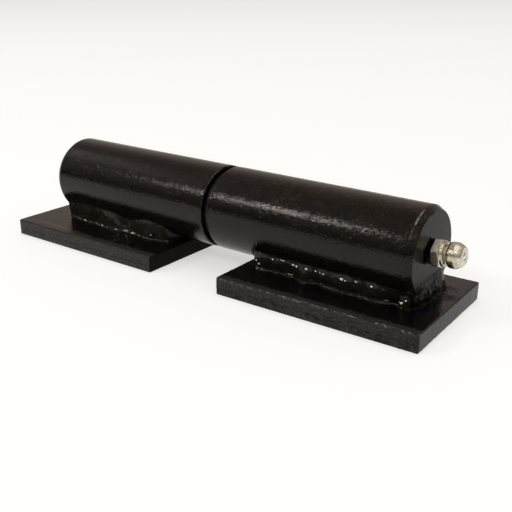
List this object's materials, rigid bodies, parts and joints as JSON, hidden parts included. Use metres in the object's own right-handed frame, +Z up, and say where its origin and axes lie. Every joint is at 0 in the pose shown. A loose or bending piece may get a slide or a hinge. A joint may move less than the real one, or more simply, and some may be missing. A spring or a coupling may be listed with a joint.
{
  "type": "weld-on barrel hinge",
  "caption": "Lift-off barrel hinge for welding on: coaxial pin and socket barrels on flat plates, thrust washer between, greased through an end nipple.",
  "frame": {"origin": "centre of the footprint, on the surface that the two plates lie on", "axes": "+X along the hinge axis from the pin half to the socket half and its grease nipple, +Y across the plates, +Z up from the plates' undersides through the barrels"},
  "size_m": [0.1502, 0.0428, 0.0307],
  "materials": {
    "black_enamel": "glossy black enamel over slightly rough steel",
    "weld_enamel": "glossy black enamel over weld beads",
    "washer_steel": "dark, painted over in the gap",
    "ground_steel": "ground",
    "bronze": "turned",
    "zinc_plate": "pale yellowish zinc, turned",
    "ball_steel": "polished",
    "spring_steel": "drawn wire"
  },
  "bodies": {
    "pin_half": {"pin_barrel": "black_enamel", "hinge_pin": "ground_steel", "pin_plate": "black_enamel", "pin_front_weld": "weld_enamel", "pin_back_weld": "weld_enamel"},
    "washer": {"thrust_washer": "washer_steel"},
    "socket_half": {"socket_barrel": "black_enamel", "socket_bush": "bronze", "socket_plate": "black_enamel", "socket_front_weld": "weld_enamel", "socket_back_weld": "weld_enamel", "socket_end_weld": "weld_enamel", "nipple_body": "zinc_plate", "nipple_spring": "spring_steel"},
    "check_ball": {"nipple_ball": "ball_steel"}
  },
  "joints": [
    {"name": "hinge_turn", "type": "hinge", "parent": "pin_half", "child": "washer", "pos_m": [0.0005, 0.0013, 0.0182], "axis": [1, 0, 0], "continuous": true},
    {"name": "lift_off", "type": "slide", "parent": "washer", "child": "socket_half", "axis": [1, 0, 0], "range_m": [0, 0.055]},
    {"name": "nipple_check", "type": "slide", "parent": "socket_half", "child": "check_ball", "axis": [-0.9942, 0, -0.108], "range_m": [0, 0.001], "stiffness_N_per_m": 600, "springref_m": -0.003, "deforming": ["nipple_spring"]}
  ]
}
